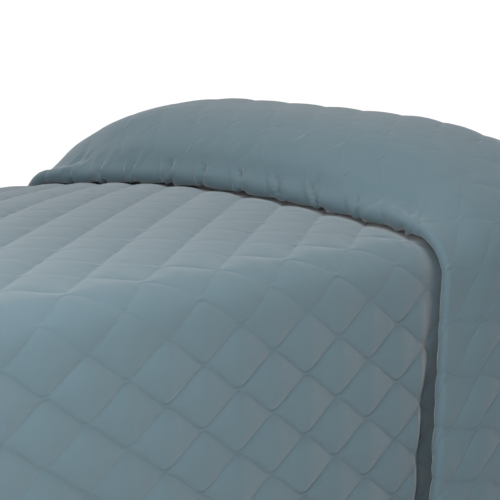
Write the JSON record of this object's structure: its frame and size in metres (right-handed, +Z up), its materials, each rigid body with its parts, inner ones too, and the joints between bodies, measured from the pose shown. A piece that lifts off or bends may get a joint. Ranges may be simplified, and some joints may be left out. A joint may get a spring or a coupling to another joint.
{
  "type": "quilted bedspread",
  "caption": "Quilted bedspread made up over a single bed, with onion quilting, a tuck in front of the pillow and round foot corners.",
  "frame": {"origin": "on the floor, under the middle of the quilt's box", "axes": "+X across the bed, +Y along the bed towards the pillow, +Z up"},
  "size_m": [1.2578, 2.0344, 0.721],
  "materials": {
    "face_fabric": "brushed microfibre with a soft matt sheen, onion quilted",
    "batting": "lofty polyester wadding",
    "backing_fabric": "plain brushed microfibre",
    "binding": "folded strip of the face fabric",
    "stitching": "polyester sewing thread, slight lustre",
    "care_label": "blank woven ribbon"
  },
  "bodies": {
    "root": {"face_fabric": "face_fabric", "batting": "batting", "backing_fabric": "backing_fabric", "binding_right": "binding", "binding_left": "binding", "binding_foot": "binding", "binding_head": "binding", "binding_stitching_right": "stitching", "binding_stitching_left": "stitching", "binding_stitching_foot": "stitching", "binding_stitching_head": "stitching", "care_label": "care_label"}
  },
  "joints": []
}
